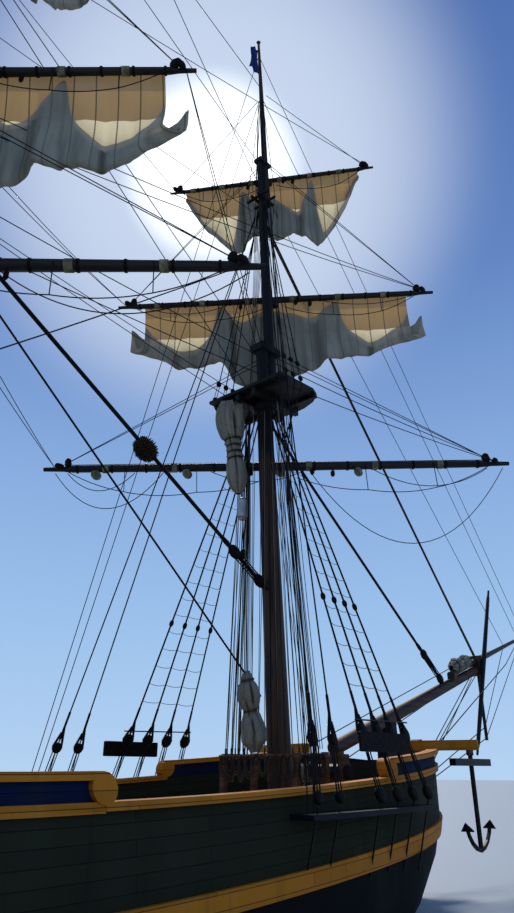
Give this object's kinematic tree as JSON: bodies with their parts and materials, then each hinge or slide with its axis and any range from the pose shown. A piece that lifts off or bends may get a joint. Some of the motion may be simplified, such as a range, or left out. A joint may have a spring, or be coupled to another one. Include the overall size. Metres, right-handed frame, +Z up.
{
  "type": "two-masted square-rigged brig",
  "caption": "Square-rigged brig with a dark timber hull, ochre rails, raked masts, braced yards, clewed-up sails, spanker boom, rudder, wheel, windlass and screw.",
  "frame": {"origin": "on the waterline, on the centreline, amidships", "axes": "+X towards the bow, +Y to port, +Z up"},
  "size_m": [34.7208, 9.288, 30.7487],
  "materials": {
    "topside_green": "weathered dark green-black paint over planking",
    "bottom_paint": "dull black and dark red bottom paint over planking",
    "panel_blue": "dark blue satin paint",
    "ochre_paint": "golden ochre satin paint",
    "deck_plank": "bare weathered planks",
    "mast_wood": "weathered oiled brown wood",
    "black_spar": "tarred black-brown wood",
    "varnished_wood": "varnished brown wood",
    "canvas": "cream-tan seamed sailcloth",
    "blue_bunting": "blue bunting",
    "tarred_rope": "tarred hemp rope",
    "black_iron": "black painted iron",
    "bronze": "dull bronze"
  },
  "bodies": {
    "ship": {"hull": "topside_green", "keel_and_stem": "bottom_paint", "transom": "panel_blue", "main_deck": "deck_plank", "quarterdeck": "deck_plank", "foredeck": "deck_plank", "bulwark_starboard": "topside_green", "bulwark_port": "topside_green", "rail_starboard": "ochre_paint", "rail_port": "ochre_paint", "wale_starboard": "ochre_paint", "wale_port": "ochre_paint", "channel_fore_starboard": "black_spar", "channel_fore_port": "black_spar", "channel_main_starboard": "black_spar", "channel_main_port": "black_spar", "cathead_starboard": "ochre_paint", "cathead_port": "ochre_paint", "anchor_starboard": "black_iron", "anchor_port": "black_iron", "main_hatch": "varnished_wood", "companion": "varnished_wood", "windlass_bitts": "varnished_wood", "wheel_box": "varnished_wood", "fore_mast": "mast_wood", "fore_top": "black_spar", "fore_topmast": "black_spar", "fore_topgallant_mast": "mast_wood", "main_mast": "mast_wood", "main_top": "black_spar", "main_topmast": "black_spar", "main_topgallant_mast": "mast_wood", "bowsprit": "mast_wood", "jibboom": "black_spar", "spritsail_yard": "black_spar", "staysail_bundle": "canvas", "headsail_bundle": "canvas", "forestay": "tarred_rope", "mainstay": "tarred_rope", "fore_topmast_stay": "tarred_rope", "pennant": "blue_bunting"},
    "sliding_hatch": {"companion_hatch": "varnished_wood"},
    "windlass": {"windlass_barrel": "varnished_wood"},
    "wheel": {"steering_wheel": "varnished_wood"},
    "rudder": {"rudder": "bottom_paint"},
    "screw": {"propeller": "bronze"},
    "fore_course_yard": {"fore_yard": "black_spar"},
    "fore_topsail_yard": {"fore_topsail_yard": "black_spar", "fore_topsail": "canvas"},
    "fore_topgallant_yard": {"fore_topgallant_yard": "black_spar", "fore_topgallant_sail": "canvas"},
    "main_course_yard": {"main_yard": "black_spar"},
    "main_topsail_yard": {"main_topsail_yard": "black_spar", "main_topsail": "canvas"},
    "main_topgallant_yard": {"main_topgallant_yard": "black_spar", "main_topgallant_sail": "canvas"},
    "boom": {"main_boom": "mast_wood", "main_gaff": "mast_wood", "spanker_furled": "canvas"}
  },
  "joints": [
    {"name": "companion_slide", "type": "slide", "parent": "ship", "child": "sliding_hatch", "axis": [-1, 0, 0], "range_m": [0, 0.6]},
    {"name": "windlass_spin", "type": "hinge", "parent": "ship", "child": "windlass", "pos_m": [7.1, 0, 2.7], "axis": [0, 1, 0], "continuous": true},
    {"name": "rudder_swing", "type": "hinge", "parent": "ship", "child": "rudder", "pos_m": [-9.06, 0, 0], "axis": [0, 0, 1], "range_deg": [-35, 35]},
    {"name": "wheel_turn", "type": "hinge", "parent": "ship", "child": "wheel", "pos_m": [-8.26, 0, 2.85], "axis": [1, 0, 0], "range_deg": [-700, 700]},
    {"name": "screw_spin", "type": "hinge", "parent": "ship", "child": "screw", "pos_m": [-8.29, 0, -2.05], "axis": [1, 0, 0], "continuous": true},
    {"name": "fore_yard_brace", "type": "hinge", "parent": "ship", "child": "fore_course_yard", "pos_m": [5.8813, 0, 10.193], "axis": [-0.0541, 0, 0.9985], "range_deg": [-83, 0]},
    {"name": "fore_topsail_brace", "type": "hinge", "parent": "ship", "child": "fore_topsail_yard", "pos_m": [5.7081, 0, 15.6116], "axis": [-0.0541, 0, 0.9985], "range_deg": [-78, 2]},
    {"name": "fore_topgallant_brace", "type": "hinge", "parent": "ship", "child": "fore_topgallant_yard", "pos_m": [5.5332, 0, 20.319], "axis": [-0.0541, 0, 0.9985], "range_deg": [-72, 8]},
    {"name": "main_yard_brace", "type": "hinge", "parent": "ship", "child": "main_course_yard", "pos_m": [-3.8973, 0, 10.7223], "axis": [-0.0541, 0, 0.9985], "range_deg": [-83, 0]},
    {"name": "main_topsail_brace", "type": "hinge", "parent": "ship", "child": "main_topsail_yard", "pos_m": [-4.0371, 0, 15.5217], "axis": [-0.0541, 0, 0.9985], "range_deg": [-81, 0]},
    {"name": "main_topgallant_brace", "type": "hinge", "parent": "ship", "child": "main_topgallant_yard", "pos_m": [-4.2059, 0, 20.1193], "axis": [-0.0541, 0, 0.9985], "range_deg": [-74, 6]},
    {"name": "boom_swing", "type": "hinge", "parent": "ship", "child": "boom", "pos_m": [-4.5535, 0, 3.9769], "axis": [-0.0541, 0, 0.9985], "range_deg": [-55, 55]}
  ],
  "couplings": [
    {"joint": "wheel_turn", "follows": "rudder_swing", "ratio": 20}
  ]
}
